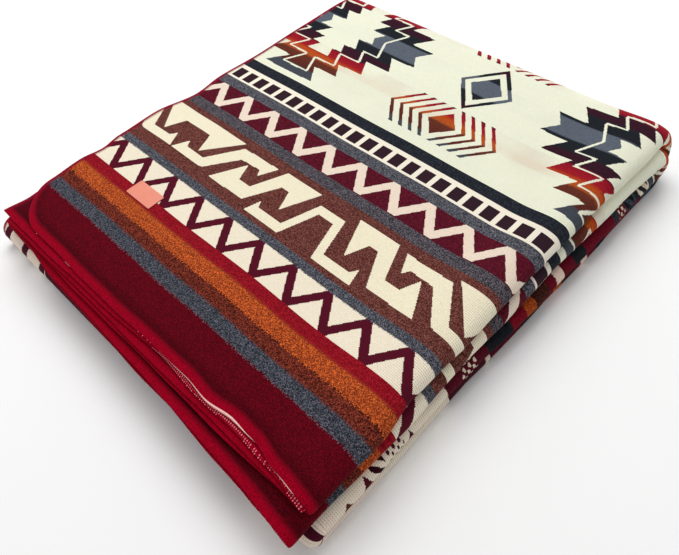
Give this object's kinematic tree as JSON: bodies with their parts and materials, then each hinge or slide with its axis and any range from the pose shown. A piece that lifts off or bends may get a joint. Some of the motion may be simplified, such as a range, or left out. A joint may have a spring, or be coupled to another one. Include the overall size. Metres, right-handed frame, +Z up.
{
  "type": "folded alpaca blanket",
  "caption": "Woven blanket folded across and along into a flat stack, with soft rolled folds, stepped hems and a small sewn leather patch.",
  "frame": {"origin": "middle of the folded stack's footprint, on the surface it rests on", "axes": "+X from the selvedge side to the side of the four rolls, +Y from the hemmed ends to the big fold, +Z up"},
  "size_m": [0.571, 0.6524, 0.0859],
  "materials": {
    "alpaca_weave": "brushed jacquard weave of alpaca and wool in wine red, cream, slate, brown, orange and black, matt with a soft nap",
    "leather_patch": "thin smooth salmon leather, plain, with cut edges"
  },
  "bodies": {
    "root": {"blanket": "alpaca_weave", "label": "leather_patch"}
  },
  "joints": []
}
